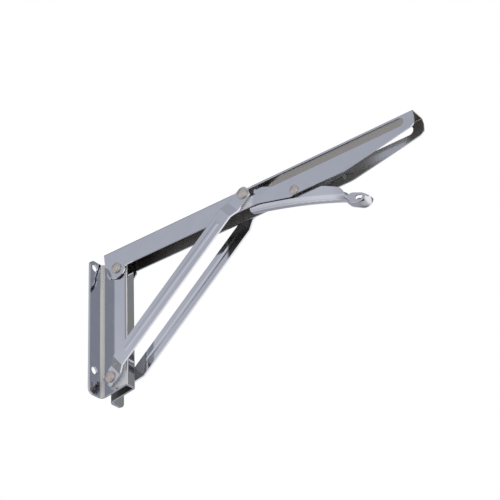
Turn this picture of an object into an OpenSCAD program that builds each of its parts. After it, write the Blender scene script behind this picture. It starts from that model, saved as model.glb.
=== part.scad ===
// Folding shelf bracket of pressed stainless sheet, open and locked.
// X points away from the wall, Y along the wall, Z up.
// The wall face is X = 0, and the origin is the centre of the four wall holes.

/* [Wall plate] */
// Height of the screw flanges
plate_h = 162; // [150:1:190]
// Sheet thickness of the wall plate
plate_t = 2.5; // [1.5:0.1:3]
// Width of the channel, outside
chan_w = 15; // [13:0.5:20]
// Distance from the wall to the front face of the channel
chan_d = 36.5; // [32:0.5:40]
// Width of each screw flange
flange_w = 19.5; // [16:0.5:28]
// Inside radius of the bend between flange and channel
flange_bend = 4; // [2:0.5:5]
// Inside radius of the bends at the channel's front corners
front_bend = 0.8; // [0.4:0.1:2]
// Radius of the flange corners
flange_corner = 6.5; // [2:0.5:8]
// Height at which the channel's front ends above the foot of the flanges
chan_foot = 5.7; // [2:0.1:7]
// Distance from the wall holes to the outer edge of their flange
wall_hole_edge = 7.5; // [5.5:0.1:9]
// Diameter of the wall screw holes
wall_hole_d = 9; // [4:0.1:9.5]
// Distance between the upper and the lower wall holes
wall_hole_pitch = 125.5; // [100:0.5:130]
// Distance from the top of the flange to the upper holes
wall_hole_top = 8; // [7:0.5:16]

/* [Arm] */
// Overall length of the arm
arm_l = 401; // [385:1:450]
// Sheet thickness of the arm
arm_t = 1.5; // [1:0.1:2]
// Inside radius of the bends along the arm's top
arm_bend = 0.8; // [0.4:0.1:2]
// Height of the shelf face above the arm's pivot
arm_top = 24.8; // [24.4:0.1:28]
// Length of the arm behind its pivot
arm_back = 18.5; // [16:0.5:22]
// Radius of the ear round the arm's pivot
arm_ear_r = 12.5; // [10:0.5:14]
// Depth of the lower edge below the pivot in front of the ear
arm_edge = 0.4; // [0:0.1:2]
// Depth of the deep middle below the pivot
arm_belly = 10.3; // [8:0.1:12]
// Height of the lower edge above the pivot at the tip
tip_edge = 5.2; // [3:0.1:7]
// Radius of the walls' lower corners at the tip
tip_r = 6; // [4:0.1:8]
// Diameter of the shelf screw holes
shelf_hole_d = 5.5; // [3:0.1:7]
// Distance from the pivot to the first shelf screw hole
shelf_hole_first = 40; // [30:1:60]
// Distance between neighbouring shelf screw holes
shelf_hole_pitch = 100; // [60:1:110]

/* [Folding linkage] */
// Distance from the wall to the arm's pivot
pivot_x = 25; // [24:0.5:30]
// Depth of the arm's pivot below the top of the flange
pivot_down = 13; // [13:0.5:18]
// Distance from the wall to the foot pivot of the braces
foot_x = 18.4; // [16:0.1:19]
// Height of the foot pivot above the foot of the flanges
foot_up = 17.8; // [17:0.1:24]
// Distance along the arm from its pivot to the locked pin
pin_u = 176.5; // [172:0.5:180]
// Height of the slot's middle above the arm's pivot
pin_v = 16.3; // [15.5:0.1:16.6]
// Height of the slots
slot_h = 10.2; // [9:0.1:11]

/* [Braces] */
// Width of the brace bars
brace_w = 18.4; // [16.4:0.2:20]
// Thickness of the brace bars
brace_t = 2.2; // [1.5:0.1:3]
// Step of the bar at its foot, out from the wall plate
foot_step = 5.7; // [3:0.1:6.5]
// Gap between the arm's wall and the bar's flat end at the pin
pin_gap = 1.4; // [1.4:0.1:2.2]
// Length of the flat foot of the bar in front of its pivot
foot_flat = 9; // [8:0.5:18]
// Length of the bar behind its foot pivot
foot_tip = 8; // [7:0.1:9]
// Length of the flat end of the bar behind the pin
pin_flat = 16.5; // [13:0.5:22]
// Length of each sloping step of the bar
step_run = 10; // [8:0.5:16]
// Length of the bar past the pin
brace_tip = 7.4; // [6.6:0.1:8]
// Width of the bar at its upper end, low enough to clear the shelf
brace_tip_w = 16.6; // [14.6:0.2:16.8]
// Radius of the pressed bead along the bar
bead_r = 7; // [5:0.1:9]
// Height of the pressed bead
bead_h = 0.5; // [0.3:0.1:0.8]

/* [Release lever] */
// Distance along the arm from its pivot to the lever's rivet
lever_u = 238; // [236:0.5:242]
// Depth of the lever's rivet below the arm's pivot
lever_down = 5; // [4:0.1:6]
// Width of the lever, outside
lever_w = 13.6; // [12.6:0.2:14]
// Sheet thickness of the lever
lever_t = 1.3; // [1:0.1:1.6]
// Radius of the rounded bottom of the lever
lever_round = 5.4; // [3:0.1:6]
// Radius of the long curve along the lever's bottom
lever_curve_r = 670; // [550:10:900]
// Length of the eye's pierced hole
eye_hole_l = 8.5; // [6:0.5:10]
// Height of the eye's pierced hole
eye_hole_h = 4.8; // [3:0.2:5]

/* [Rivets, bushes and washers] */
// Diameter of the pivot and foot rivets
rivet_d = 6; // [5:0.1:7]
// Diameter of the lever's rivet
lever_rivet_d = 5; // [4:0.1:6]
// Diameter of the pivot rivet's heads
pivot_head_d = 12.4; // [10:0.2:14]
// Diameter of the brace rivets' heads
pin_head_d = 12.4; // [10:0.2:14]
// Diameter of the foot rivet's heads
foot_head_d = 12.4; // [10:0.2:14]
// Diameter of the lever rivet's heads
lever_head_d = 11; // [8:0.2:12]
// Height of the large rivet heads
head_h = 2; // [1.5:0.1:2.5]
// Height of the lever rivet's heads
lever_head_h = 1; // [0.8:0.1:1.1]
// Outer diameter of the spacer bushes in the channel
bush_d = 10; // [8.5:0.1:11]
// Outer diameter of the washers and spacers
washer_d = 12.4; // [10.5:0.1:12.8]

/* [Spring] */
// Diameter of the spring wire
wire_d = 1.5; // [1:0.1:1.6]
// Number of turns of the spring
spring_turns = 4; // [3:1:5]
// Distance from the lever's rivet to the tab under the spring's leg
tab_reach = 49.5; // [45:0.5:54]

/* [Fits] */
// Radial running clearance of a rivet in a moving hole
run_fit = 0.06; // [0.02:0.01:0.1]
// Gap between flat faces that slide on each other
face_gap = 0.1; // [0.05:0.01:0.15]
// Gap between the channel's side and the arm's wall
side_gap = 0.9; // [0.5:0.05:1]
// Gap between the arm's wall and the foot of a brace
brace_gap = 0.3; // [0.2:0.05:0.5]
// Clearance of a slot bush above and below in its slot
slot_fit = 0.2; // [0.1:0.05:0.3]

/* [Hidden] */

// Fineness of round stretches and of true bores
arc_steps = 10;
round_fn = 64;
// Overlap with which a cutting tool passes a face
cut = 1;
// Overlap that joins the two halves of the wall plate
seam = 0.01;
// Depth of a rivet's shank inside its head
head_root = 0.5;
// Rounding of the corners at the braces' upper ends, and at their feet
tip_corner = 7;
foot_corner = 3;
// Flat stretches of the bar between its steps and the bead, at the foot and at the pin
bead_foot = 16;
bead_pin = 14;

// Heights of the plate, with the hole pattern centred on the origin
plate_top = wall_hole_pitch / 2 + wall_hole_top;
plate_foot = plate_top - plate_h;
wall_hole_y = chan_w / 2 + flange_w - wall_hole_edge;

// Widths from the middle plane outwards
arm_in = chan_w / 2 + side_gap;
arm_out = arm_in + arm_t;
foot_in = arm_out + brace_gap;
foot_out = foot_in + brace_t;
bar_in = foot_in + foot_step;
bar_out = bar_in + brace_t;
pin_in = arm_out + pin_gap;
pin_out = pin_in + brace_t;

// Pivots in the side view
pivot_z = plate_top - pivot_down;
foot_z = plate_foot + foot_up;
pin_x = pivot_x + pin_u;
pin_z = pivot_z + pin_v;
lever_x = pivot_x + lever_u;
lever_z = pivot_z - lever_down;

// The brace, and where its pin comes to lie when the arm hangs down
brace_l = norm([pin_x - foot_x, pin_z - foot_z]);
brace_angle = atan2(pin_z - foot_z, pin_x - foot_x);
folded_x = pivot_x + pin_v - foot_x;
folded_u = pivot_z - foot_z + sqrt(brace_l * brace_l - folded_x * folded_x);
bush_r = slot_h / 2 - slot_fit;

// The slots, a little longer than the pin's travel, with sheet left beyond them at the tip
slot_spare = 0.4;
slot_land = 5;
arm_tip = arm_l - arm_back;
// How far the walls' ends bulge past the web's end, and how high above their lower corners
tip_bulge = 1.3;
tip_bulge_up = 12;
slot_start = pin_u - slot_spare;
slot_end = min(folded_u + slot_spare, arm_tip - slot_land - slot_h / 2);

// Wedge pressed from the far wall, under the spring's leg: its top above the rivet, its
// width, its height with the lean of its tip, and its reach into the arm
tab_lift = 3.9;
tab_x = lever_x + tab_reach;
tab_z = lever_z + tab_lift;
tab_w = 5;
tab_h = 4.2;
tab_lean = 0.6;
tab_in = 2.6;

// The lever's long curve, about a point far below the arm: its slope and depth under
// the rivet, the height of the walls, and the angles that it spans, whole and in front
lever_slope = 17.8;
lever_under = 13.2;
lever_rise = 34;
lever_span = 11.5;
lever_fore = 5.5;
curve_x = lever_x - lever_curve_r * sin(lever_slope);
curve_z = lever_z - lever_under - lever_curve_r * cos(lever_slope);
// Side outline of the lever from its rivet, as [along, up, radius]: the nose, the falling
// top edge and the neck, the rim of the eye, and the open ground below the sheet
lever_nose = [[-60.5, 1, 0], [-52.5, 18, 1], [-51.5, 27.5, 3], [-45.5, 25.8, 4]];
lever_edge = [[-23.5, 17, 6], [36, -10, 20], [52, -18.5, 10], [58.4, -31.5, 1]];
eye_rim = [[65, -31, 5], [76, -35.8, 10], [87, -44.2, 0]];
lever_ground = [[90, -56, 0], [60, -60, 0], [-64, -60, 0], [-62, -8, 0]];
// Balls of the eye's spoon, from the neck to its end, as [along, up, radius], and how far
// the spoon reaches from the rivet
eye_balls = [[56, -25.5, 6.8], [65, -34.4, 8.8], [73.8, -38.4, 9.5]];
eye_reach = eye_balls[2][0] + eye_balls[2][2];
// Middle of the eye's pierced hole from the lever's rivet, and its tilt
eye_hole_at = [71.9, -39.3];
eye_hole_tilt = 16;

// Spring wire: coil round the rivet, one leg to the arm's tab, one along the lever
coil_r = 4.3;
wire_pitch = wire_d + 0.25;
coil_half = spring_turns * wire_pitch / 2;
wire_sides = 8;
turn_steps = 20;
// The leg to the wedge: its places across at the end and at the coil, its height above the
// wedge, half of its flat stretch there, how far it runs past, the dip of its end, and its
// two bends as [along, above the coil]
leg_y = arm_in - 2 * face_gap - wire_d / 2;
leg_start_y = lever_w / 2 - lever_t - wire_d;
leg_z = tab_lift + face_gap + wire_d / 2;
leg_flat = tab_w / 2 + 0.5;
leg_past = 10.5;
leg_dip = 1.4;
leg_bends = [[22, 0], [38, 0.2]];
// The leg inside the lever: its bend and its end as [along, up]
lower_leg = [[14, 0.8], [24, -9.3]];

// Washer inside the arm at the lever's rivet, and the ball that presses the dimple into
// its near head, with its middle outside the head
lever_washer_d = lever_rivet_d + 4;
dimple_d = 4;
dimple_out = 1.4;

// Bush in the slot: its inner collar
collar_d = 12;
collar_t = 0.8;

// Direction and unit length of a plane vector
function unit(v) = v / norm(v);

// Points of the arc of radius r that rounds the corner p between a and b
function corner(a, p, b, r) =
    r <= 0 ? [p] :
    let (
        to_a = unit(a - p),
        to_b = unit(b - p),
        half = acos(to_a * to_b) / 2,
        middle = p + unit(to_a + to_b) * r / sin(half),
        start = p + to_a * r / tan(half),
        first = atan2(start[1] - middle[1], start[0] - middle[0]),
        side = cross(p - a, b - p) > 0 ? 1 : -1,
        turn = side * (180 - 2 * half)
    )
    [for (i = [0:arc_steps])
        middle + r * [cos(first + turn * i / arc_steps), sin(first + turn * i / arc_steps)]];

// Outline through corners given as [x, y, radius]
function outline(points) =
    let (n = len(points))
    [for (i = [0:n - 1])
        let (
            a = points[(i + n - 1) % n],
            p = points[i],
            b = points[(i + 1) % n]
        )
        each corner([a[0], a[1]], [p[0], p[1]], [b[0], b[1]], p[2])];

// Plate drawn in the XZ side view, between two distances along Y
module side_plate(from_y, to_y) {
    translate([0, to_y, 0])
        rotate([90, 0, 0])
            linear_extrude(height = to_y - from_y)
                children();
}

// Round bar along Y at a place in the side view
module cross_bar(x, z, d, from_y, to_y) {
    translate([x, to_y, z])
        rotate([90, 0, 0])
            cylinder(d = d, h = to_y - from_y, $fn = round_fn);
}

// Ring along Y at a place in the side view
module cross_ring(x, z, d, bore, from_y, to_y) {
    difference() {
        cross_bar(x, z, d, from_y, to_y);
        cross_bar(x, z, bore, from_y - cut, to_y + cut);
    }
}

// Rivet head with a rounded rim, standing on the plane Z = 0
module head(d, h) {
    rim = 0.45 * h;
    rotate_extrude($fn = round_fn)
        union() {
            square([d / 2 - rim, h]);
            square([d / 2, h - rim]);
            translate([d / 2 - rim, h - rim])
                circle(r = rim, $fn = round_fn);
        }
}

// Head on the outer face of the near side, at a distance from the middle
module near_head(x, z, d, h, y) {
    translate([x, -y, z])
        rotate([90, 0, 0])
            head(d, h);
}

// Copy mirrored to the far side
module far_side() {
    mirror([0, 1, 0])
        children();
}

// Half of the hat section of the wall plate, seen from above
module half_hat() {
    side_out = chan_w / 2;
    bend_x = plate_t + flange_bend;
    bend_y = side_out + flange_bend;
    front_r = front_bend + plate_t;
    translate([0, bend_y])
        square([plate_t, flange_w - flange_bend]);
    difference() {
        translate([0, side_out - plate_t])
            square([bend_x, plate_t + flange_bend]);
        translate([bend_x, bend_y])
            circle(r = flange_bend, $fn = round_fn);
        difference() {
            translate([-cut, side_out - plate_t - cut])
                square([bend_x + cut, plate_t + flange_bend + cut]);
            translate([bend_x, bend_y])
                circle(r = flange_bend + plate_t, $fn = round_fn);
        }
    }
    translate([bend_x, side_out - plate_t])
        square([chan_d - front_r - bend_x, plate_t]);
    difference() {
        translate([chan_d - front_r, side_out - front_r])
            square([front_r, front_r]);
        translate([chan_d - front_r, side_out - front_r])
            circle(r = front_bend, $fn = round_fn);
        difference() {
            translate([chan_d - front_r, side_out - front_r])
                square([front_r + cut, front_r + cut]);
            translate([chan_d - front_r, side_out - front_r])
                circle(r = front_r, $fn = round_fn);
        }
    }
    translate([chan_d - plate_t, -seam])
        square([plate_t, side_out - front_r + seam]);
}

// Outline of the two flanges, seen from the front
module flange_outline() {
    reach = chan_w / 2 + flange_w;
    polygon(outline([
        [-reach, plate_foot, flange_corner],
        [reach, plate_foot, flange_corner],
        [reach, plate_top, flange_corner],
        [-reach, plate_top, flange_corner]
    ]));
}

// Pressed wall plate: a channel between two screw flanges
module wall_plate() {
    color("silver")
        difference() {
            intersection() {
                translate([0, 0, plate_foot])
                    linear_extrude(height = plate_h)
                        union() {
                            half_hat();
                            mirror([0, 1])
                                half_hat();
                        }
                translate([-cut, 0, 0])
                    rotate([90, 0, 90])
                        linear_extrude(height = chan_d + 2 * cut)
                            flange_outline();
            }
            side_plate(-chan_w, chan_w)
                polygon([
                    [plate_t, plate_foot - cut],
                    [plate_t, plate_foot],
                    [chan_d, plate_foot + chan_foot],
                    [chan_d + cut, plate_foot + chan_foot],
                    [chan_d + cut, plate_foot - cut]
                ]);
            for (side = [-1, 1], up = [-1, 1])
                translate([-cut, side * wall_hole_y, up * wall_hole_pitch / 2])
                    rotate([0, 90, 0])
                        cylinder(d = wall_hole_d, h = plate_t + 2 * cut, $fn = round_fn);
            cross_bar(pivot_x, pivot_z, rivet_d + 2 * run_fit, -chan_w, chan_w);
            cross_bar(foot_x, foot_z, rivet_d + 2 * run_fit, -chan_w, chan_w);
        }
}

// Rivet of the arm's pivot, with a flat head on each side
module pivot_rivet() {
    seat = arm_out + face_gap;
    color("gainsboro")
        union() {
            cross_bar(pivot_x, pivot_z, rivet_d, -seat - head_root, seat + head_root);
            near_head(pivot_x, pivot_z, pivot_head_d, head_h, seat);
            far_side()
                near_head(pivot_x, pivot_z, pivot_head_d, head_h, seat);
        }
}

// Spacer bush between the channel's sides at the arm's pivot
module pivot_bush() {
    half = chan_w / 2 - plate_t - face_gap;
    color("darkgray")
        cross_ring(pivot_x, pivot_z, bush_d, rivet_d + 2 * run_fit, -half, half);
}

// Rivet of the braces' foot, with a domed head on each side
module foot_rivet() {
    seat = foot_out + face_gap;
    color("gainsboro")
        union() {
            cross_bar(foot_x, foot_z, rivet_d, -seat - head_root, seat + head_root);
            near_head(foot_x, foot_z, foot_head_d, head_h, seat);
            far_side()
                near_head(foot_x, foot_z, foot_head_d, head_h, seat);
        }
}

// Spacer bush between the channel's sides at the braces' foot
module foot_bush() {
    half = chan_w / 2 - plate_t - face_gap;
    color("darkgray")
        cross_ring(foot_x, foot_z, bush_d, rivet_d + 2 * run_fit, -half, half);
}

// Spacer between the channel's side and the foot of a brace
module near_foot_spacer() {
    color("darkgray")
        cross_ring(foot_x, foot_z, washer_d, rivet_d + 2 * run_fit,
            -foot_in + face_gap, -chan_w / 2 - face_gap);
}

// The same spacer on the far side
module far_foot_spacer() {
    far_side()
        near_foot_spacer();
}

// Washer between the channel's side and the arm's wall
module near_pivot_washer() {
    color("darkgray")
        cross_ring(pivot_x, pivot_z, washer_d, rivet_d + 2 * run_fit,
            -arm_in + face_gap, -chan_w / 2 - face_gap);
}

// The same washer on the far side
module far_pivot_washer() {
    far_side()
        near_pivot_washer();
}

// Side outline of the arm, with its pivot at [pivot_x, pivot_z]
module arm_outline() {
    belly_start = lever_u - 6.5;
    belly_end = lever_u + 58;
    slope_top = pin_u + 16;
    translate([pivot_x, pivot_z])
        difference() {
            union() {
                circle(r = arm_ear_r, $fn = round_fn);
                polygon(outline([
                    [-arm_back, arm_top, 0],
                    [-arm_back + 1.4, arm_top / 2, 10],
                    [-arm_ear_r, 2, 0],
                    [-arm_ear_r, -1, 0],
                    [0, -arm_ear_r + 1, 0],
                    [arm_ear_r - 2.5, -arm_ear_r + 5, 0],
                    [arm_ear_r + 0.5, -arm_edge, 2],
                    [slope_top, -arm_edge, 40],
                    [belly_start, -arm_belly, 12],
                    [belly_end, -arm_belly, 40],
                    [arm_tip - tip_bulge / 2, tip_edge + tip_bulge, tip_r],
                    [arm_tip, tip_edge + tip_bulge_up, 10],
                    [arm_tip - tip_bulge, arm_top, 0]
                ]));
            }
            slot_outline();
        }
}

// Long slot of the arm's wall, as an outline
module slot_outline() {
    translate([slot_start, pin_v - slot_h / 2])
        square([slot_end - slot_start, slot_h]);
    translate([slot_start, pin_v])
        circle(d = slot_h, $fn = round_fn);
    translate([slot_end, pin_v])
        circle(d = slot_h, $fn = round_fn);
}

// Cross section of the arm, a channel open below, with Y across and Z up
module arm_section() {
    bend_out = arm_bend + arm_t;
    low = -arm_ear_r - 2;
    difference() {
        union() {
            translate([-arm_out, low])
                square([2 * arm_out, arm_top - bend_out - low]);
            translate([-arm_out + bend_out, low])
                square([2 * (arm_out - bend_out), arm_top - low]);
            for (side = [-1, 1])
                translate([side * (arm_out - bend_out), arm_top - bend_out])
                    circle(r = bend_out, $fn = round_fn);
        }
        union() {
            translate([-arm_in, low - cut])
                square([2 * arm_in, arm_top - bend_out - low + cut]);
            translate([-arm_in + arm_bend, low - cut])
                square([2 * (arm_in - arm_bend), arm_top - arm_t - low + cut]);
            for (side = [-1, 1])
                translate([side * (arm_in - arm_bend), arm_top - bend_out])
                    circle(r = arm_bend, $fn = round_fn);
        }
    }
}

// Pressed arm: web on top, two walls with long slots, holes for the shelf screws
module arm_channel() {
    color("silver")
        union() {
            difference() {
                intersection() {
                    translate([pivot_x - arm_back, 0, pivot_z])
                        rotate([90, 0, 90])
                            linear_extrude(height = arm_back + arm_tip)
                                arm_section();
                    side_plate(-arm_out - cut, arm_out + cut)
                        arm_outline();
                }
                cross_bar(pivot_x, pivot_z, rivet_d + 2 * run_fit, -arm_out - cut, arm_out + cut);
                cross_bar(lever_x, lever_z, lever_rivet_d + 2 * run_fit,
                    -arm_out - cut, arm_out + cut);
                for (i = [0:1])
                    translate([pivot_x + shelf_hole_first + i * shelf_hole_pitch, 0,
                        pivot_z + arm_top - arm_t - cut])
                        cylinder(d = shelf_hole_d, h = arm_t + 2 * cut, $fn = round_fn);
            }
            side_plate(arm_in - tab_in, arm_in + arm_t / 2)
                polygon([
                    [tab_x - tab_w / 2, tab_z],
                    [tab_x + tab_w / 2, tab_z],
                    [tab_x - tab_lean, tab_z - tab_h]
                ]);
        }
}

// Rivet of the release lever, with a dimple in its near head
module lever_rivet() {
    seat = arm_out;
    color("gainsboro")
        difference() {
            union() {
                cross_bar(lever_x, lever_z, lever_rivet_d, -seat - head_root, seat + head_root);
                near_head(lever_x, lever_z, lever_head_d, lever_head_h, seat + face_gap);
                far_side()
                    near_head(lever_x, lever_z, lever_head_d, lever_head_h, seat + face_gap);
            }
            translate([lever_x, -seat - face_gap - lever_head_h - dimple_out, lever_z])
                sphere(d = dimple_d, $fn = round_fn);
        }
}

// Washer between the arm's wall and the lever
module near_lever_washer() {
    color("darkgray")
        cross_ring(lever_x, lever_z, lever_washer_d, lever_rivet_d + 2 * run_fit,
            -arm_in + face_gap, -lever_w / 2 - face_gap);
}

// The same washer on the far side
module far_lever_washer() {
    far_side()
        near_lever_washer();
}

// Bar outline in its own frame, with the foot pivot at the origin
module bar_outline() {
    half = brace_w / 2;
    tip_half = brace_tip_w / 2;
    polygon(outline([
        [-foot_tip, -half, foot_corner],
        [brace_l - pin_flat, -half, 0],
        [brace_l + brace_tip, -tip_half, tip_corner],
        [brace_l + brace_tip, tip_half, tip_corner],
        [brace_l - pin_flat, half, 0],
        [-foot_tip, half, foot_corner]
    ]));
}

// Long section of the bar: distance along the bar, and distance from the middle
module bar_steps() {
    reach = brace_w / 2 + cut;
    foot_ramp = foot_flat + step_run;
    pin_ramp = brace_l - pin_flat - step_run;
    pin_start = brace_l - pin_flat;
    polygon([
        [-reach, -foot_in],
        [foot_flat, -foot_in],
        [foot_ramp, -bar_in],
        [pin_ramp, -bar_in],
        [pin_start, -pin_in],
        [brace_l + reach, -pin_in],
        [brace_l + reach, -pin_out],
        [pin_start, -pin_out],
        [pin_ramp, -bar_out],
        [foot_ramp, -bar_out],
        [foot_flat, -foot_out],
        [-reach, -foot_out]
    ]);
}

// Round ridge along the bar's middle, with its crest at a distance from the middle
module bead(crest, r) {
    first = foot_flat + step_run + bead_foot;
    last = brace_l - pin_flat - step_run - bead_pin;
    translate([first, -crest + r, 0])
        rotate([0, 90, 0])
            cylinder(r = r, h = last - first, $fn = round_fn);
    for (end = [first, last])
        translate([end, -crest + r, 0])
            sphere(r = r, $fn = round_fn);
}

// Pressed bar with a step at each end and a long bead
module bar() {
    difference() {
        union() {
            intersection() {
                translate([0, 0, -brace_w / 2 - cut])
                    linear_extrude(height = brace_w + 2 * cut)
                        bar_steps();
                rotate([90, 0, 0])
                    linear_extrude(height = bar_out + cut)
                        bar_outline();
            }
            intersection() {
                bead(bar_out + bead_h, bead_r + brace_t);
                translate([0, -bar_out - 2 * bead_h, -brace_w / 2])
                    cube([brace_l, brace_t / 2 + 2 * bead_h, brace_w]);
            }
        }
        bead(bar_in + bead_h, bead_r);
        translate([0, -foot_in + cut, 0])
            rotate([90, 0, 0])
                cylinder(d = rivet_d + 2 * run_fit, h = brace_t + 2 * cut, $fn = round_fn);
        translate([brace_l, -pin_in + cut, 0])
            rotate([90, 0, 0])
                cylinder(d = rivet_d, h = brace_t + 2 * cut, $fn = round_fn);
    }
}

// Near brace, from the foot pivot up to the pin
module near_brace() {
    color("silver")
        translate([foot_x, 0, foot_z])
            rotate([0, -brace_angle, 0])
                bar();
}

// The same brace on the far side
module far_brace() {
    far_side()
        near_brace();
}

// Rivet in the upper end of the near brace
module near_brace_rivet() {
    color("gainsboro")
        union() {
            cross_bar(pin_x, pin_z, rivet_d, -pin_out - head_root, -pin_in);
            near_head(pin_x, pin_z, pin_head_d, head_h, pin_out);
        }
}

// The same rivet on the far side
module far_brace_rivet() {
    far_side()
        near_brace_rivet();
}

// Bush that guides the near brace's rivet in the slot
module near_slot_bush() {
    color("darkgray")
        union() {
            cross_bar(pin_x, pin_z, 2 * bush_r, -pin_in + face_gap, -arm_in + face_gap + collar_t);
            cross_bar(pin_x, pin_z, collar_d, -arm_in + face_gap, -arm_in + face_gap + collar_t);
            cross_bar(pin_x, pin_z, pin_head_d, -pin_in + face_gap, -arm_out - face_gap);
        }
}

// The same bush on the far side
module far_slot_bush() {
    far_side()
        near_slot_bush();
}

// Cross section of the lever or of its hollow, with distance from the curve's centre
module lever_section(inset) {
    half = lever_w / 2 - inset;
    r = lever_round - inset;
    low = lever_curve_r + inset;
    translate([low + r, -half])
        square([lever_rise, 2 * half]);
    translate([low, -half + r])
        square([lever_rise, 2 * (half - r)]);
    for (side = [-1, 1])
        translate([low + r, side * (half - r)])
            circle(r = r, $fn = round_fn);
}

// Sweep of a section along the lever's curve
module lever_sweep(inset) {
    first = 90 - lever_slope - lever_fore;
    translate([curve_x, 0, curve_z])
        rotate([90, 0, 0])
            rotate([0, 0, first])
                rotate_extrude(angle = lever_span, $fn = 360)
                    lever_section(inset);
}

// Spoon of the eye, or its hollow, with flat sides in line with the lever's walls
module eye(inset) {
    translate([lever_x, 0, lever_z])
        intersection() {
            hull()
                for (b = eye_balls)
                    translate([b[0], 0, b[1]])
                        sphere(r = b[2] - inset, $fn = 36);
            cube([2 * eye_reach, lever_w - 2 * inset, 2 * eye_reach], center = true);
        }
}

// Side outline of the lever in its place
module lever_outline() {
    translate([lever_x, lever_z])
        polygon(outline(concat(lever_nose, lever_edge, eye_rim, lever_ground)));
}

// Pressed lever: U section with a nose, a rounded bottom and a spoon-shaped eye
module release_lever() {
    color("silver")
        difference() {
            intersection() {
                union() {
                    lever_sweep(0);
                    eye(0);
                }
                side_plate(-lever_w, lever_w)
                    lever_outline();
            }
            lever_sweep(lever_t);
            eye(lever_t);
            cross_bar(lever_x, lever_z, lever_rivet_d + 2 * run_fit, -lever_w, lever_w);
            translate([lever_x + eye_hole_at[0], lever_w, lever_z + eye_hole_at[1]])
                rotate([90, eye_hole_tilt, 0])
                    linear_extrude(height = 2 * lever_w)
                        eye_hole();
        }
}

// Long hole through both sides of the eye
module eye_hole() {
    run = eye_hole_l - eye_hole_h;
    translate([-run / 2, -eye_hole_h / 2])
        square([run, eye_hole_h]);
    for (end = [-1, 1])
        translate([end * run / 2, 0])
            circle(d = eye_hole_h, $fn = round_fn);
}

// Points of the wire in the lever rivet's frame
function spring_path() = concat(
    [[tab_reach + leg_past, leg_y, leg_z - leg_dip]],
    [[tab_reach + leg_flat, leg_y, leg_z]],
    [[tab_reach - leg_flat, leg_y, leg_z]],
    [[leg_bends[1][0], leg_y, coil_r + leg_bends[1][1]]],
    [[leg_bends[0][0], leg_start_y, coil_r + leg_bends[0][1]]],
    [for (i = [0:spring_turns * turn_steps])
        let (a = 90 + 360 * i / turn_steps)
        [coil_r * cos(a), coil_half - 2 * coil_half * i / (spring_turns * turn_steps),
            coil_r * sin(a)]],
    [for (p = lower_leg) [p[0], -coil_half, p[1]]]
);

// Ring of points round place i of a path
function wire_ring(path, i) =
    let (
        n = len(path),
        ahead = unit(path[min(i + 1, n - 1)] - path[max(i - 1, 0)]),
        up = abs(ahead[1]) > 0.8 ? [0, 0, 1] : [0, 1, 0],
        across = unit(cross(ahead, up)),
        over = cross(across, ahead)
    )
    [for (k = [0:wire_sides - 1])
        path[i] + wire_d / 2 * (cos(360 * k / wire_sides) * across
            + sin(360 * k / wire_sides) * over)];

// Return spring of the lever
module lever_spring() {
    path = spring_path();
    n = len(path);
    points = [for (i = [0:n - 1]) each wire_ring(path, i)];
    walls = [for (i = [0:n - 2], k = [0:wire_sides - 1])
        let (next = (k + 1) % wire_sides)
        [i * wire_sides + k, i * wire_sides + next,
            (i + 1) * wire_sides + next, (i + 1) * wire_sides + k]];
    first_cap = [for (k = [wire_sides - 1:-1:0]) k];
    last_cap = [for (k = [0:wire_sides - 1]) (n - 1) * wire_sides + k];
    color("gray")
        translate([lever_x, 0, lever_z])
            polyhedron(points = points, faces = concat([first_cap], walls, [last_cap]));
}

wall_plate();
pivot_rivet();
pivot_bush();
foot_rivet();
foot_bush();
near_foot_spacer();
far_foot_spacer();
near_pivot_washer();
far_pivot_washer();
arm_channel();
lever_rivet();
near_lever_washer();
far_lever_washer();
near_brace();
far_brace();
near_brace_rivet();
far_brace_rivet();
near_slot_bush();
far_slot_bush();
release_lever();
lever_spring();
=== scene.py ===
"""Finishes, light and camera of a folding shelf bracket of polished pressed steel."""
import math
from collections import namedtuple

import bmesh
import bpy
from bpy.props import FloatProperty, FloatVectorProperty, PointerProperty
from mathutils import Matrix, Vector


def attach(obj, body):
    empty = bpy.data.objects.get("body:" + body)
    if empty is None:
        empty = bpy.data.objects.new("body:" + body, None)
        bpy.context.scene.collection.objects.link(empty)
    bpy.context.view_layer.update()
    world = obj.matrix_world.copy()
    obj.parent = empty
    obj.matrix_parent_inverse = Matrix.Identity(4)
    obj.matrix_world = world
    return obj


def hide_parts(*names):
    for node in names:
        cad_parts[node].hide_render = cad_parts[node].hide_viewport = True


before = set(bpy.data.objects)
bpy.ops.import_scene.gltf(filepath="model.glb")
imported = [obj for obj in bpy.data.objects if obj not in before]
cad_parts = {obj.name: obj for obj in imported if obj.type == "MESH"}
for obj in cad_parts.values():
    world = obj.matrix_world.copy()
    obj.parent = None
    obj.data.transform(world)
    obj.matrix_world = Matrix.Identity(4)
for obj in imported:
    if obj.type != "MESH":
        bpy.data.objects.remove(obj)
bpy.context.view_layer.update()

bl_info = {
    "name": "Folding Shelf Bracket Finishes",
    "version": (1, 0, 0),
    "blender": (4, 5, 0),
    "location": "View3D > Sidebar > Shelf Bracket",
    "description": "Finishes, studio and camera of a folding shelf bracket",
    "category": "Material",
}

MM = 0.001
SMOOTH = "SMOOTHSTEP"

HEAD_NODES = ("pivot_rivet", "foot_rivet", "lever_rivet", "near_brace_rivet", "far_brace_rivet")
TURNED_NODES = (
    "pivot_bush", "foot_bush", "near_foot_spacer", "far_foot_spacer",
    "near_pivot_washer", "far_pivot_washer", "near_lever_washer", "far_lever_washer",
    "near_slot_bush", "far_slot_bush",
)


# Helpers for node trees

def add_node(tree, kind, **values):
    """A node of that kind with its properties; inputs= holds the values of its sockets."""
    node = tree.nodes.new(kind)
    for name, value in values.items():
        if name == "inputs":
            for socket, number in value.items():
                node.inputs[socket].default_value = number
        else:
            setattr(node, name, value)
    return node


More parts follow.
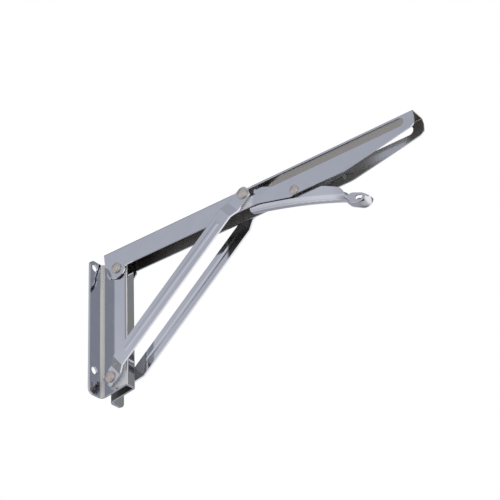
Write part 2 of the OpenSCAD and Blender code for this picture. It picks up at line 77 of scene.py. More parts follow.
def new_group(name, inputs, outputs):
    """An empty node group with named inputs and outputs, and its two end nodes."""
    group = bpy.data.node_groups.new(name, "ShaderNodeTree")
    for label, kind, value in inputs:
        socket = group.interface.new_socket(name=label, in_out="INPUT", socket_type=kind)
        socket.default_value = value
    for label, kind in outputs:
        group.interface.new_socket(name=label, in_out="OUTPUT", socket_type=kind)
    return group, group.nodes.new("NodeGroupInput"), group.nodes.new("NodeGroupOutput")


def place_group(tree, group, values=None):
    """A copy of a node group in a material, with its own values."""
    node = tree.nodes.new("ShaderNodeGroup")
    node.node_tree = group
    for name, value in (values or {}).items():
        node.inputs[name].default_value = value
    return node


def whereabouts(tree):
    """Place and normal of a point on a piece, each by X, Y and Z, and the normal itself."""
    place = add_node(tree, "ShaderNodeTexCoord")
    along = add_node(tree, "ShaderNodeSeparateXYZ")
    facing = add_node(tree, "ShaderNodeSeparateXYZ")
    tree.links.new(place.outputs["Object"], along.inputs["Vector"])
    tree.links.new(place.outputs["Normal"], facing.inputs["Vector"])
    return along.outputs, facing.outputs, place.outputs["Normal"]


def ramp(tree, value, start, end, low=0.0, high=1.0, kind="LINEAR"):
    """From low to high as a value goes from start to end."""
    node = add_node(tree, "ShaderNodeMapRange", interpolation_type=kind,
                    inputs={"From Min": start, "From Max": end, "To Min": low, "To Max": high})
    tree.links.new(value, node.inputs["Value"])
    return node.outputs["Result"]


def joined(tree, operation, *values):
    """Result of a maths operation on sockets and numbers."""
    node = add_node(tree, "ShaderNodeMath", operation=operation)
    for socket, value in zip(node.inputs, values):
        if isinstance(value, (int, float)):
            socket.default_value = value
        else:
            tree.links.new(value, socket)
    return node.outputs["Value"]


def within(tree, along, join, bands):
    """Mask of some bands, by their product or the largest of them; None without bands."""
    mask = None
    for axis, start, end, *shares in bands:
        band = ramp(tree, along[axis], start * MM, end * MM, *shares)
        mask = band if mask is None else joined(tree, join, mask, band)
    return mask


def lay_over(tree, mask, colour, roughness=None, metal=None):
    """Another finish over the one so far, as far as the mask goes."""
    shader = next(n for n in tree.nodes if n.type == "BSDF_PRINCIPLED")
    for name, value in (("Base Color", (*colour, 1)), ("Roughness", roughness),
                        ("Metallic", metal)):
        if value is None:
            continue
        socket = shader.inputs[name]
        mix = add_node(tree, "ShaderNodeMix",
                       data_type="RGBA" if name == "Base Color" else "FLOAT")
        if socket.is_linked:
            tree.links.new(socket.links[0].from_socket, mix.inputs["A"])
        else:
            mix.inputs["A"].default_value = socket.default_value
        mix.inputs["B"].default_value = value
        tree.links.new(mask, mix.inputs["Factor"])
        tree.links.new(mix.outputs["Result"], socket)


def new_material(name):
    """A material with an empty tree, its Principled BSDF and its output joined."""
    material = bpy.data.materials.new(name)
    material.use_nodes = True
    tree = material.node_tree
    tree.nodes.clear()
    shader = tree.nodes.new("ShaderNodeBsdfPrincipled")
    output = tree.nodes.new("ShaderNodeOutputMaterial")
    tree.links.new(shader.outputs["BSDF"], output.inputs["Surface"])
    return material, tree, shader


def dress(nodes, material):
    """Gives CAD nodes one material in place of their own."""
    for name in nodes:
        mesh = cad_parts[name].data
        mesh.materials.clear()
        mesh.materials.append(material)


def metres(values):
    """Millimetres to metres."""
    return [v * MM for v in values]


# Shared effects

def polish_group():
    """Cloudy tone and long fine polishing lines of a buffed sheet."""
    group, ends, out = new_group(
        "polishing_marks",
        [("Cloud Size", "NodeSocketFloat", 60.0), ("Line Size", "NodeSocketFloat", 900.0)],
        [("Cloud", "NodeSocketFloat"), ("Lines", "NodeSocketFloat")],
    )
    link = group.links.new
    place = add_node(group, "ShaderNodeTexCoord")
    cloud = add_node(group, "ShaderNodeTexNoise", inputs={"Detail": 3.0, "Roughness": 0.5})
    link(place.outputs["Object"], cloud.inputs["Vector"])
    link(ends.outputs["Cloud Size"], cloud.inputs["Scale"])
    # Lines run along the sheet, so the pattern is drawn out along X
    stretch = add_node(group, "ShaderNodeMapping", inputs={"Scale": (0.04, 1.0, 1.0)})
    lines = add_node(group, "ShaderNodeTexNoise", inputs={"Detail": 2.0, "Roughness": 0.6})
    link(place.outputs["Object"], stretch.inputs["Vector"])
    link(stretch.outputs["Vector"], lines.inputs["Vector"])
    link(ends.outputs["Line Size"], lines.inputs["Scale"])
    link(cloud.outputs["Fac"], out.inputs["Cloud"])
    link(lines.outputs["Fac"], out.inputs["Lines"])
    return group


def edge_group():
    """Soft normals along sharp edges, as on a deburred sheet."""
    group, ends, out = new_group(
        "eased_edges",
        [("Radius", "NodeSocketFloat", 0.0004)],
        [("Normal", "NodeSocketVector")],
    )
    bevel = add_node(group, "ShaderNodeBevel", samples=6)
    group.links.new(ends.outputs["Radius"], bevel.inputs["Radius"])
    group.links.new(bevel.outputs["Normal"], out.inputs["Normal"])
    return group


def crown_group():
    """Height of a slightly domed head, from its middle out to its rim."""
    group, _, out = new_group("crowned_head", [], [("Height", "NodeSocketFloat")])
    link = group.links.new
    # Generated coordinates go from 0 to 1 over a rivet, whose axis is Y
    place = add_node(group, "ShaderNodeTexCoord")
    flat = add_node(group, "ShaderNodeVectorMath", operation="MULTIPLY", inputs={1: (2, 0, 2)})
    middle = add_node(group, "ShaderNodeVectorMath", operation="SUBTRACT",
                      inputs={1: (1, 0, 1)})
    reach = add_node(group, "ShaderNodeVectorMath", operation="LENGTH")
    square = add_node(group, "ShaderNodeMath", operation="POWER", inputs={1: 2.0})
    height = add_node(group, "ShaderNodeMath", operation="SUBTRACT", inputs={0: 1.0})
    link(place.outputs["Generated"], flat.inputs[0])
    link(flat.outputs["Vector"], middle.inputs[0])
    link(middle.outputs["Vector"], reach.inputs[0])
    link(reach.outputs["Value"], square.inputs[0])
    link(square.outputs["Value"], height.inputs[1])
    link(height.outputs["Value"], out.inputs["Height"])
    return group


# What a user would change

class SteelSettings(bpy.types.PropertyGroup):
    """Finish of the polished sheet"""
    tone: FloatVectorProperty(
        name="Sheet", description="Colour of the polished sheet", subtype="COLOR",
        size=3, min=0, max=1, default=(0.80, 0.81, 0.84))
    shade: FloatVectorProperty(
        name="Cloud", description="Colour of the duller clouds in the polish", subtype="COLOR",
        size=3, min=0, max=1, default=(0.72, 0.73, 0.77))
    roughness: FloatProperty(
        name="Roughness", description="Blur of the polished faces", subtype="FACTOR",
        min=0.01, max=0.5, default=0.09)
    edge_radius: FloatProperty(
        name="Edge Radius", description="Easing of the sheared edges", subtype="DISTANCE",
        unit="LENGTH", min=0.00005, max=0.001, default=0.0003)
    web: FloatVectorProperty(
        name="Inner Web", description="Colour of a channel's web on its inner side",
        subtype="COLOR", size=3, min=0, max=1, default=(0.71, 0.665, 0.60))
    web_roughness: FloatProperty(
        name="Inner Web Roughness", description="Blur of the web's inner side",
        subtype="FACTOR", min=0.05, max=1, default=0.14)
    # Painted shade: a dark, dull colour on the walls deep in a channel stands in for the shade
    # there
    raw: FloatVectorProperty(
        name="Raw Walls", description="Colour of the unpolished walls deep in a channel",
        subtype="COLOR", size=3, min=0, max=1, default=(0.165, 0.158, 0.15))
    # Painted shade: the darkest colour, on inner walls and at the far brace's ends
    deep: FloatVectorProperty(
        name="Dark Walls", description="Colour of the darkest inner walls and brace ends",
        subtype="COLOR", size=3, min=0, max=1, default=(0.03, 0.027, 0.024))
    # Blur of the walls with painted shade, the darkest ones too, then how much of a mirror the
    # shaded walls are
    raw_roughness: FloatProperty(
        name="Raw Roughness", description="Blur of the unpolished walls", subtype="FACTOR",
        min=0.05, max=1, default=0.3)
    wall_shade_metal: FloatProperty(
        name="Raw Metal", description="How much of a mirror the unpolished walls are",
        subtype="FACTOR", min=0, max=1, default=0.35)
    bend: FloatVectorProperty(
        name="Flange Bends", description="Colour of the satin bends beside the flanges",
        subtype="COLOR", size=3, min=0, max=1, default=(0.66, 0.64, 0.625))
    # Painted reflection: the pale satin backs of the near brace's ends brighten what plate and
    # arm mirror of them
    back: FloatVectorProperty(
        name="Brace Back", description="Colour of the back of the near brace's two ends",
        subtype="COLOR", size=3, min=0, max=1, default=(0.85, 0.85, 0.86))
    # Painted reflection: a flat satin tone on plate and arm beside the near brace's ends, in
    # place of their mirror image there
    behind_brace: FloatVectorProperty(
        name="Behind the Brace", description="Colour of plate and arm by the near brace's ends",
        subtype="COLOR", size=3, min=0, max=1, default=(0.55, 0.565, 0.60))
    satin_roughness: FloatProperty(
        name="Satin Roughness", description="Blur of the satin bends and sides",
        subtype="FACTOR", min=0.05, max=1, default=0.35)
    satin_metal: FloatProperty(
        name="Satin Metal", description="How much of a mirror the satin bends are",
        subtype="FACTOR", min=0, max=1, default=0.4)
    # Painted sheen: a lighter band on the lever's grip
    grip: FloatVectorProperty(
        name="Grip", description="Colour of the lever's brighter grip", subtype="COLOR",
        size=3, min=0, max=1, default=(0.90, 0.91, 0.93))
    # Painted shade on the belly of the lever's eye, where it turns down
    belly_shade: FloatVectorProperty(
        name="Spoon", description="Colour of the drawn belly of the lever's eye",
        subtype="COLOR", size=3, min=0, max=1, default=(0.46, 0.47, 0.48))


class RivetSettings(bpy.types.PropertyGroup):
    """Finish of the rivet heads and the turned pieces"""
    head: FloatVectorProperty(
        name="Heads", description="Colour of the satin rivet heads", subtype="COLOR",
        size=3, min=0, max=1, default=(0.60, 0.552, 0.515))
    turned: FloatVectorProperty(
        name="Turned Pieces", description="Colour of bushes and washers", subtype="COLOR",
        size=3, min=0, max=1, default=(0.42, 0.42, 0.43))
    wire: FloatVectorProperty(
        name="Spring Wire", description="Colour of the drawn wire", subtype="COLOR",
        size=3, min=0, max=1, default=(0.58, 0.57, 0.55))
    roughness: FloatProperty(
        name="Roughness", description="Blur of the satin heads", subtype="FACTOR",
        min=0.05, max=0.8, default=0.34)
    metal: FloatProperty(
        name="Metal", description="How much of a mirror the satin heads are", subtype="FACTOR",
        min=0, max=1, default=0.55)


class StudioSettings(bpy.types.PropertyGroup):
    """Light tent, floor and camera"""
    camera_place: FloatVectorProperty(
        name="Camera", description="Place of the camera, in the part's frame",
        subtype="TRANSLATION", unit="LENGTH", size=3, default=metres((940.7, -1041.8, -787.0)))
    focal_pixels: FloatProperty(
        name="Focal Length", description="Focal length in pixels of the square image",
        min=300, max=6000, default=1481.4)
    floor_depth: FloatProperty(
        name="Floor Depth", description="Height of the floor", subtype="DISTANCE",
        unit="LENGTH", default=-1.7)
    ceiling_near: FloatVectorProperty(
        name="Ceiling by the Wall", description="Colour of the ceiling behind the bracket's wall",
        subtype="COLOR", size=3, min=0, max=1, default=(0.47, 0.485, 0.55))
    ceiling_far: FloatVectorProperty(
        name="Ceiling in Front", description="Colour of the ceiling in front of the bracket",
        subtype="COLOR", size=3, min=0, max=1, default=(0.31, 0.33, 0.37))
    front_card: FloatVectorProperty(
        name="Front Card", description="Dark card, mirrored by the plate's flanges and web",
        subtype="COLOR", size=3, min=0, max=1, default=(0.24, 0.245, 0.24))
    soft_box: FloatVectorProperty(
        name="Soft Box", description="Warm pale card, mirrored by the bends at the flanges",
        subtype="COLOR", size=3, min=0, max=1, default=(0.92, 0.86, 0.82))
    left_card: FloatVectorProperty(
        name="Left Card", description="Tone mirrored by the lever's side and the brace's foot",
        subtype="COLOR", size=3, min=0, max=1, default=(0.62, 0.635, 0.69))
    back_card: FloatVectorProperty(
        name="Back Card", description="Tone mirrored by the lever's underside",
        subtype="COLOR", size=3, min=0, max=1, default=(0.60, 0.61, 0.67))
    room_card: FloatVectorProperty(
        name="Room Card", description="Grey of the room, mirrored by the near brace's foot",
        subtype="COLOR", size=3, min=0, max=1, default=(0.36, 0.37, 0.38))
    wall_card: FloatVectorProperty(
        name="Wall Card", description="Tone of the wall, mirrored by the near brace's foot",
        subtype="COLOR", size=3, min=0, max=1, default=(0.28, 0.29, 0.30))
    low_card: FloatVectorProperty(
        name="Low Card", description="Shade low in front of the near side, seen inside the arm",
        subtype="COLOR", size=3, min=0, max=1, default=(0.08, 0.08, 0.08))
    far_card: FloatVectorProperty(
        name="Far Card", description="Grey beyond the far side, mirrored by the arm's web",
        subtype="COLOR", size=3, min=0, max=1, default=(0.345, 0.355, 0.385))
    top_card: FloatVectorProperty(
        name="Top Card", description="Shade overhead, mirrored along the upper bends",
        subtype="COLOR", size=3, min=0, max=1, default=(0.015, 0.015, 0.015))
    below_near: FloatVectorProperty(
        name="Below by the Wall", description="Tone below, on the side of the wall",
        subtype="COLOR", size=3, min=0, max=1, default=(0.52, 0.53, 0.58))
    below_far: FloatVectorProperty(
        name="Below in Front", description="Tone below, in front of the bracket",
        subtype="COLOR", size=3, min=0, max=1, default=(1, 1, 1))


# Finishes, with painted shade and painted reflections

# Bands in which a finish comes in: axis, where it begins and where it is full, in mm. Where
# that isn't from none to all of it, its two shares follow, and the way between them.
# Painted shade on the arm's walls: weaker from 332 to 380 mm, full at the tip
WALL_SHADE_ALONG_ARM = (("X", 332, 364, 0.9, 0.2, SMOOTH), ("X", 380, 394, 0, 1, SMOOTH))
# Darkest painted shade near the arm's pivot and tip, and at the plate's foot
DEEP_SHADE_ALONG_ARM = (("X", 120, 50, 0, 1, SMOOTH), ("X", 380, 396, 0, 0.55, SMOOTH))
DEEP_SHADE_PLATE_FOOT = (("Z", -76, -82, 0, 0.6),)
# Painted reflection: pale backs of the near brace's ends
BACK_OF_BRACE_ENDS = (("X", 46, 36), ("X", 165, 175))
# Painted shade at the far brace's two ends
DEEP_SHADE_BRACE_ENDS = (("X", 155, 160, 0, 0.95, SMOOTH), ("X", 46, 38, 0, 0.6, SMOOTH))
# Painted reflection on plate and arm beside the near brace's foot and head
BEHIND_BRACE_FOOT = (("Z", -68, -73), ("Z", -87, -84), ("X", 14, 19))
BEHIND_BRACE_HEAD = (("X", 185, 190), ("X", 212, 208))
BY_THE_WALL = (("X", 15, 12),)
# Painted sheen on the lever's grip
LEVER_GRIP = (("X", 245, 285), ("X", 318, 304))
# Painted shade on the eye's belly, past the neck
PAST_THE_NECK = (("X", 306, 320, 0, 1, SMOOTH),)

# How much of a mirror a finish is, where no setting says it
WEB_METAL = 0.97
MATT_METAL = 0.1
DEEP_SHADE_METAL = 0.8

# Inside of a channel: half its width, the side that its web's inner face looks to, bands of the
# walls' painted shade and of their darkest painted shade, and how much of a mirror the darkest
# walls are
Channel = namedtuple("Channel", "half_width web_side raw_bands dark_bands dark_metal",
                     defaults=((), (), MATT_METAL))
SHEETS = (
    ("braces", ("near_brace", "far_brace"), None),
    ("plate", ("wall_plate",),
     Channel(4.9 * MM, (-1, 0, 0), (), DEEP_SHADE_PLATE_FOOT, DEEP_SHADE_METAL)),
    ("arm", ("arm_channel",), Channel(8.3 * MM, (0, 0, -1), WALL_SHADE_ALONG_ARM, DEEP_SHADE_ALONG_ARM)),
    ("lever", ("release_lever",), Channel(5.4 * MM, (0, 0, 1))),
)
# Share of the painted shade on walls without bands
WALL_SHADE_SHARE = 0.9
# Where a mask begins and is full as a face turns: a web to its side, and walls inward, by
# the normal's Y times the place along Y, in half widths
WEB_TURN = (0.5, 0.8)
WALL_TURN = (-0.6, -0.9)
# The same for the plate's bends (the normal's X times its Y), and for the painted shade on the
# eye's belly as it turns down (Z) and as it turns to the front (X)
BEND_TURN = (0.08, 0.2)
DOWN_TURN = (-0.15, -0.55)
FRONT_TURN = (0.66, 0.4)

# Painted reflections and painted shade on the sides of the sheets: sheet, the side that the faces
# look to and the half of the part that they are on (-1 near, 1 far), how the bands join, bands,
# colour, blur, metal
SIDE_ZONES = (
    # Painted reflection: pale backs of the near brace's ends
    ("braces", 1, -1, "MAXIMUM", BACK_OF_BRACE_ENDS, "back", "satin_roughness", MATT_METAL),
    # Painted shade at the far brace's two ends
    ("braces", -1, 1, "MAXIMUM", DEEP_SHADE_BRACE_ENDS, "deep", "raw_roughness", DEEP_SHADE_METAL),
    # Painted reflection on the plate beside the near brace's foot
    ("plate", -1, -1, "MULTIPLY", BEHIND_BRACE_FOOT,
     "behind_brace", "satin_roughness", MATT_METAL),
    # Painted reflection on the arm beside the near brace's head
    ("arm", -1, -1, "MULTIPLY", BEHIND_BRACE_HEAD,
     "behind_brace", "satin_roughness", MATT_METAL),
)
# Where they begin and are full as a face turns to its side, and width of their soft rim at
# the part's middle plane
SIDE_TURN = (0.3, 0.6)
MIDDLE_RIM = 2 * MM

# Range of the roughness over the clouds of the polish, in shares of its setting
SHEET_BLUR = (0.6, 1.4)
RIVET_BLUR = (0.85, 1.2)
# Strength and depth of the polishing lines
SHEET_LINES = (0.04, 0.2 * MM)
RIVET_LINES = (0.12, 0.1 * MM)
# Rivets and turned pieces: finer marks, tone of the clouds as a share of the colour, eased
# edges, height of a head's crown
RIVET_MARKS = {"Cloud Size": 400.0, "Line Size": 2500.0}
RIVET_SHADE = 0.88
RIVET_EDGE = {"Radius": 0.4 * MM}
HEAD_CROWN = 1.6 * MM
TURNED_ROUGHNESS = 0.3
WIRE_ROUGHNESS = 0.26

# The lever's mesh: corners this close are one, and an edge sharper than this stays sharp
WELD = 0.01 * MM
SHARP = math.radians(32)


class BRACKET_OT_polished_steel(bpy.types.Operator):
    """Polished sheet of the wall plate, the arm, the braces and the lever"""
    bl_idname = "bracket.polished_steel"
    bl_label = "Polished Steel"

    def execute(self, context):
        look = context.scene.bracket_steel
        marks, edges = polish_group(), edge_group()
        finishes = {}
        for sheet, nodes, channel in SHEETS:
            finish = steel_material("polished_" + sheet, look, marks, edges)
            if channel:
                # Painted shade on the walls inside the channel
                wall_shade_channel(finish.node_tree, look, channel)
            dress(nodes, finish)
            finishes[sheet] = finish
        satin_bends(finishes["plate"].node_tree, look)
        # Painted reflections and painted shade on the sides of the sheets
        for sheet, *zone in SIDE_ZONES:
            side_zone(finishes[sheet].node_tree, look, *zone)
        lever = finishes["lever"]
        # Painted sheen on the lever's grip
        painted_grip_sheen(lever.node_tree, look)
        # Painted shade on the eye's belly
        painted_belly_shade(lever.node_tree, look)
        smooth_lever(lever)
        return {"FINISHED"}


def smooth_lever(finish):
    """The lever's own mesh, joined up and smooth over its curves."""
    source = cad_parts["release_lever"]
    shape = bmesh.new()
    shape.from_mesh(source.data)
    bmesh.ops.transform(shape, matrix=source.matrix_world, verts=shape.verts)
    bmesh.ops.remove_doubles(shape, verts=shape.verts, dist=WELD)
    for face in shape.faces:
        face.smooth = True
    for edge in shape.edges:
        edge.smooth = len(edge.link_faces) == 2 and edge.calc_face_angle() < SHARP
    mesh = bpy.data.meshes.new("smooth_lever")
    shape.to_mesh(mesh)
    shape.free()
    mesh.materials.append(finish)
    lever = bpy.data.objects.new("smooth_lever", mesh)
    bpy.context.scene.collection.objects.link(lever)
    evened = lever.modifiers.new("even_normals", "WEIGHTED_NORMAL")
    evened.keep_sharp = True
    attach(lever, "lever")
    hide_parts("release_lever")


def steel_material(name, look, marks_group, edges_group):
    """Polished sheet with its clouds, lines and eased edges."""
    material, tree, shader = new_material(name)
    marks = place_group(tree, marks_group)
    edges = place_group(tree, edges_group, {"Radius": look.edge_radius})
    blurs = [look.roughness * share for share in SHEET_BLUR]
    marked_metal(tree, shader, marks, edges.outputs["Normal"],
                 (look.shade, look.tone), blurs, SHEET_LINES, 1.0)
    return material


def marked_metal(tree, shader, marks, normal, colours, blurs, lines, metal):
    """Colour, blur and relief of a metal by its polishing marks, over a normal."""
    link = tree.links.new
    tone = add_node(tree, "ShaderNodeMix", data_type="RGBA")
    for socket, colour in zip("AB", colours):
        tone.inputs[socket].default_value = (*colour, 1)
    link(marks.outputs["Cloud"], tone.inputs["Factor"])
    blur = ramp(tree, marks.outputs["Cloud"], 0, 1, *blurs)
    strength, depth = lines
    relief = add_node(tree, "ShaderNodeBump", inputs={"Strength": strength, "Distance": depth})
    link(marks.outputs["Lines"], relief.inputs["Height"])
    link(normal, relief.inputs["Normal"])
    link(relief.outputs["Normal"], shader.inputs["Normal"])
    link(tone.outputs["Result"], shader.inputs["Base Color"])
    link(blur, shader.inputs["Roughness"])
    shader.inputs["Metallic"].default_value = metal


def wall_shade_channel(tree, look, channel):
    """Duller web inside a channel, and painted shade on its walls, darkest in some stretches."""
    along, facing, normal = whereabouts(tree)
    toward = add_node(tree, "ShaderNodeVectorMath", operation="DOT_PRODUCT")
    toward.inputs[1].default_value = channel.web_side
    tree.links.new(normal, toward.inputs[0])
    across = joined(tree, "ABSOLUTE", along["Y"])
    inside = joined(tree, "LESS_THAN", across, channel.half_width)
    web = joined(tree, "MULTIPLY", ramp(tree, toward.outputs["Value"], *WEB_TURN), inside)
    lay_over(tree, web, look.web, look.web_roughness, WEB_METAL)
    # Painted shade on the channel's walls
    inward = joined(tree, "MULTIPLY", along["Y"], facing["Y"])
    walls = ramp(tree, inward, *[channel.half_width * turn for turn in WALL_TURN])
    share = within(tree, along, "MAXIMUM", channel.raw_bands) or WALL_SHADE_SHARE
    lay_over(tree, joined(tree, "MULTIPLY", walls, share),
             look.raw, look.raw_roughness, look.wall_shade_metal)
    # Darkest painted shade in some stretches of the walls
    if channel.dark_bands:
        deep_shade = within(tree, along, "MAXIMUM", channel.dark_bands)
        lay_over(tree, joined(tree, "MULTIPLY", walls, deep_shade),
                 look.deep, look.raw_roughness, channel.dark_metal)


def side_zone(tree, look, looks_to, half, join, bands, colour, blur, metal):
    """Painted tone on faces that look to one side, on one half of the part, in bands: painted
    reflections and painted shade.
    """
    along, facing, _ = whereabouts(tree)
    side = joined(tree, "MULTIPLY",
                  ramp(tree, facing["Y"], *[looks_to * turn for turn in SIDE_TURN]),
                  ramp(tree, along["Y"], 0, half * MIDDLE_RIM))
    mask = joined(tree, "MULTIPLY", side, within(tree, along, join, bands))
    lay_over(tree, mask, getattr(look, colour), getattr(look, blur), metal)


def satin_bends(tree, look):
    """Satin bends between the wall plate's flanges and its channel."""
    along, facing, _ = whereabouts(tree)
    sideways = joined(tree, "ABSOLUTE", facing["Y"])
    turned = ramp(tree, joined(tree, "MULTIPLY", facing["X"], sideways), *BEND_TURN)
    mask = joined(tree, "MULTIPLY", turned, within(tree, along, "MULTIPLY", BY_THE_WALL))
    lay_over(tree, mask, look.bend, look.satin_roughness, look.satin_metal)


def painted_grip_sheen(tree, look):
    """Painted sheen: a lighter band on the lever's grip, in front of its rivet."""
    along, _, _ = whereabouts(tree)
    lay_over(tree, within(tree, along, "MULTIPLY", LEVER_GRIP), look.grip)


def painted_belly_shade(tree, look):
    """Painted shade: a darker tone on the belly of the lever's eye where it turns down, not on
    its front.
    """
    along, facing, _ = whereabouts(tree)
    past_neck = within(tree, along, "MULTIPLY", PAST_THE_NECK)
    downward = ramp(tree, facing["Z"], *DOWN_TURN, kind=SMOOTH)
    not_ahead = ramp(tree, facing["X"], *FRONT_TURN, kind=SMOOTH)
    belly = joined(tree, "MULTIPLY", joined(tree, "MULTIPLY", past_neck, downward), not_ahead)
    lay_over(tree, belly, look.belly_shade)


class BRACKET_OT_rivets(bpy.types.Operator):
    """Satin rivet heads, turned bushes and washers, and the spring wire"""
    bl_idname = "bracket.rivets"
    bl_label = "Rivets and Turned Pieces"

    def execute(self, context):
        look = context.scene.bracket_rivets
        marks_group = bpy.data.node_groups["polishing_marks"]
        edges_group = bpy.data.node_groups["eased_edges"]
        crowns = crown_group()
        for nodes, name, tone, roughness, metal, crowned in (
            (HEAD_NODES, "satin_rivet", look.head, look.roughness, look.metal, 1.0),
            (TURNED_NODES, "turned_steel", look.turned, TURNED_ROUGHNESS, 1.0, 0.0),
            (("lever_spring",), "spring_wire", look.wire, WIRE_ROUGHNESS, 1.0, 0.0),
        ):
            material, tree, shader = new_material(name)
            marks = place_group(tree, marks_group, RIVET_MARKS)
            crown = place_group(tree, crowns)
            edges = place_group(tree, edges_group, RIVET_EDGE)
            swell = add_node(tree, "ShaderNodeBump",
                             inputs={"Strength": crowned, "Distance": HEAD_CROWN})
            tree.links.new(crown.outputs["Height"], swell.inputs["Height"])
            tree.links.new(edges.outputs["Normal"], swell.inputs["Normal"])
            shade = [c * RIVET_SHADE for c in tone]
            blurs = [roughness * share for share in RIVET_BLUR]
            marked_metal(tree, shader, marks, swell.outputs["Normal"],
                         (shade, tone), blurs, RIVET_LINES, metal)
            dress(nodes, material)
        return {"FINISHED"}


# Studio

# Cards that the steel mirrors: name, settings of the colours at its ends by the wall and in
# front, direction from the object, distance, half its side and radius up to which it is full
CARDS = (
    ("ceiling", ("ceiling_near", "ceiling_far"), (0, 0, 1), 2.0, 7.0, 5.0),
    ("front_card", ("front_card",), (0.53, 0.61, 0.59), 1.7, 1.7, 1.1),
    ("soft_box", ("soft_box",), (0.83, -0.16, 0.53), 1.5, 0.62, 0.38),
    ("left_card", ("left_card",), (-0.56, -0.80, -0.22), 2.2, 2.3, 1.4),
    ("back_card", ("back_card",), (-0.80, 0.58, -0.12), 1.9, 2.0, 1.3),
    ("room_card", ("room_card",), (0.97, -0.19, 0.16), 1.6, 0.52, 0.3),
    ("wall_card", ("wall_card",), (-0.97, -0.16, 0.18), 1.4, 0.5, 0.3),
    ("low_card", ("low_card",), (0.05, -0.78, -0.62), 1.5, 1.4, 0.9),
    ("top_card", ("top_card",), (-0.55, 0.08, 0.83), 1.6, 0.85, 0.4),
    ("far_card", ("far_card",), (-0.33, 0.85, -0.42), 1.5, 0.9, 0.74),
    ("below", ("below_near", "below_far"), (0, 0, -1), 1.5, 4.0, 3.0),
)
# How far from a card's middle its two colours are reached, along X
CARD_BLEND = 1.4
# A card whose direction is this close to the Z axis stays level
UPRIGHT = 0.99
FLOOR_HALF = 4.0
FLOOR_TONES = (0.90, 0.93)

# The photo's side and the middle of its lens, in pixels
PHOTO_SIDE = 500
LENS_MIDDLE = (248.9, 256.1)
SENSOR_WIDTH = 36.0
CLIP = (0.05, 50.0)
# Axes of the camera: right, up and back
CAMERA_RIGHT = (0.79427, 0.60557, -0.04925)
CAMERA_UP = (0.35307, -0.39408, 0.84855)
CAMERA_BACK = (0.49445, -0.69137, -0.52681)


class BRACKET_OT_studio(bpy.types.Operator):
    """White tent, cards that the steel mirrors, floor and camera"""
    bl_idname = "bracket.studio"
    bl_label = "Studio"

    def execute(self, context):
        scene = context.scene
        look = scene.bracket_studio
        make_tent(scene)
        for name, colours, toward, distance, half, full in CARDS:
            near, far = getattr(look, colours[0]), getattr(look, colours[-1])
            make_card(scene, name, toward, distance, half, full, near, far)
        make_floor(scene, look)
        make_camera(scene, look)
        scene.view_settings.view_transform = "Standard"
        return {"FINISHED"}


def make_tent(scene):
    """World: one plain white, for light, background and reflections alike."""
    world = bpy.data.worlds.new("light_tent")
    world.use_nodes = True
    scene.world = world
    tree = world.node_tree
    tree.nodes.clear()
    white = add_node(tree, "ShaderNodeBackground",
                     inputs={"Color": (1, 1, 1, 1), "Strength": 1.0})
    output = add_node(tree, "ShaderNodeOutputWorld")
    tree.links.new(white.outputs["Background"], output.inputs["Surface"])


def make_square(scene, name, half, height=0.0):
    """A level square about the Z axis."""
    mesh = bpy.data.meshes.new(name)
    corners = ((-1, -1), (1, -1), (1, 1), (-1, 1))
    mesh.from_pydata([(x * half, y * half, height) for x, y in corners], [], [(0, 1, 2, 3)])
    square = bpy.data.objects.new(name, mesh)
    scene.collection.objects.link(square)
    return square


def make_card(scene, name, toward, distance, half, full, near, far):
    """Card with a soft rim that only mirrors show, between two colours along X."""
    way = Vector(toward).normalized()
    card = make_square(scene, name, half)
    card.location = way * distance
    if abs(way.z) < UPRIGHT:
        card.rotation_mode = "QUATERNION"
        card.rotation_quaternion = way.to_track_quat("Z", "X")
    for rays in ("camera", "diffuse", "transmission", "volume_scatter", "shadow"):
        setattr(card, "visible_" + rays, False)

    material = bpy.data.materials.new(name)
    material.use_nodes = True
    material.cycles.emission_sampling = "NONE"
    tree = material.node_tree
    tree.nodes.clear()
    link = tree.links.new
    place = add_node(tree, "ShaderNodeTexCoord")
    along = add_node(tree, "ShaderNodeSeparateXYZ")
    tone = add_node(tree, "ShaderNodeMix", data_type="RGBA")
    tone.inputs["A"].default_value = (*near, 1)
    tone.inputs["B"].default_value = (*far, 1)
    from_middle = add_node(tree, "ShaderNodeVectorMath", operation="LENGTH")
    glow = add_node(tree, "ShaderNodeEmission")
    clear = add_node(tree, "ShaderNodeBsdfTransparent")
    mix = add_node(tree, "ShaderNodeMixShader")
    output = add_node(tree, "ShaderNodeOutputMaterial")
    link(place.outputs["Object"], along.inputs["Vector"])
    link(place.outputs["Object"], from_middle.inputs[0])
    link(ramp(tree, along.outputs["X"], -CARD_BLEND, CARD_BLEND), tone.inputs["Factor"])
    link(tone.outputs["Result"], glow.inputs["Color"])
    link(ramp(tree, from_middle.outputs["Value"], half, full, kind=SMOOTH), mix.inputs["Fac"])
    link(clear.outputs["BSDF"], mix.inputs[1])
    link(glow.outputs["Emission"], mix.inputs[2])
    link(mix.outputs["Shader"], output.inputs["Surface"])
    card.data.materials.append(material)


def make_floor(scene, look):
    """Plain pale floor far below the bracket, which hangs on its wall."""
    floor = make_square(scene, "floor", FLOOR_HALF, look.floor_depth)
    material, tree, shader = new_material("pale_floor")
    speck = add_node(tree, "ShaderNodeTexNoise", inputs={"Scale": 30.0, "Detail": 2.0})
    tone = add_node(tree, "ShaderNodeMix", data_type="RGBA")
    for socket, grey in zip("AB", FLOOR_TONES):
        tone.inputs[socket].default_value = (grey, grey, grey, 1)
    tree.links.new(speck.outputs["Fac"], tone.inputs["Factor"])
    tree.links.new(tone.outputs["Result"], shader.inputs["Base Color"])
    shader.inputs["Roughness"].default_value = 0.9
    floor.data.materials.append(material)


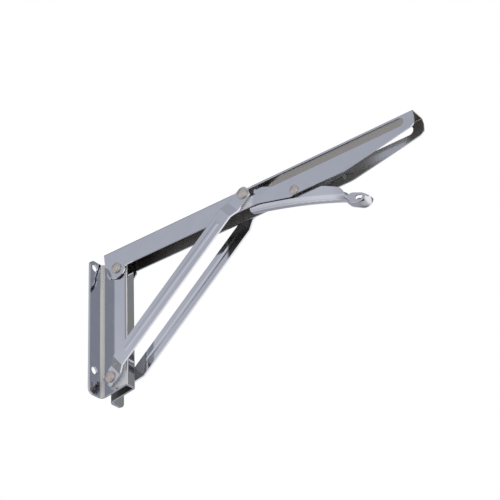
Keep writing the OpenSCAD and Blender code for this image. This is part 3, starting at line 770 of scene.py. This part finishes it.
def make_camera(scene, look):
    """Camera at the photo's viewing angle, from below."""
    data = bpy.data.cameras.new("camera")
    data.sensor_width = SENSOR_WIDTH
    data.lens = look.focal_pixels / PHOTO_SIDE * SENSOR_WIDTH
    data.shift_x = (PHOTO_SIDE / 2 - LENS_MIDDLE[0]) / PHOTO_SIDE
    data.shift_y = (LENS_MIDDLE[1] - PHOTO_SIDE / 2) / PHOTO_SIDE
    data.clip_start, data.clip_end = CLIP
    camera = bpy.data.objects.new("camera", data)
    axes = Matrix((CAMERA_RIGHT, CAMERA_UP, CAMERA_BACK)).transposed()
    camera.matrix_world = Matrix.Translation(Vector(look.camera_place)) @ axes.to_4x4()
    scene.collection.objects.link(camera)
    scene.camera = camera


# Panel

class BRACKET_PT_finishes(bpy.types.Panel):
    """Lists the operators and their settings"""
    bl_idname = "BRACKET_PT_finishes"
    bl_label = "Shelf Bracket"
    bl_space_type = "VIEW_3D"
    bl_region_type = "UI"
    bl_category = "Shelf Bracket"

    def draw(self, context):
        scene = context.scene
        for operator, settings in (
            ("bracket.polished_steel", scene.bracket_steel),
            ("bracket.rivets", scene.bracket_rivets),
            ("bracket.studio", scene.bracket_studio),
        ):
            box = self.layout.box()
            for name in settings.__annotations__:
                box.prop(settings, name)
            box.operator(operator)


CLASSES = (
    SteelSettings, RivetSettings, StudioSettings,
    BRACKET_OT_polished_steel, BRACKET_OT_rivets, BRACKET_OT_studio, BRACKET_PT_finishes,
)


def register():
    for cls in CLASSES:
        bpy.utils.register_class(cls)
    bpy.types.Scene.bracket_steel = PointerProperty(type=SteelSettings)
    bpy.types.Scene.bracket_rivets = PointerProperty(type=RivetSettings)
    bpy.types.Scene.bracket_studio = PointerProperty(type=StudioSettings)


def unregister():
    del bpy.types.Scene.bracket_studio
    del bpy.types.Scene.bracket_rivets
    del bpy.types.Scene.bracket_steel
    for cls in reversed(CLASSES):
        bpy.utils.unregister_class(cls)


def main():
    """Dresses the bracket and builds the studio."""
    register()
    bpy.ops.bracket.polished_steel()
    bpy.ops.bracket.rivets()
    bpy.ops.bracket.studio()


if __name__ == "__main__":
    main()
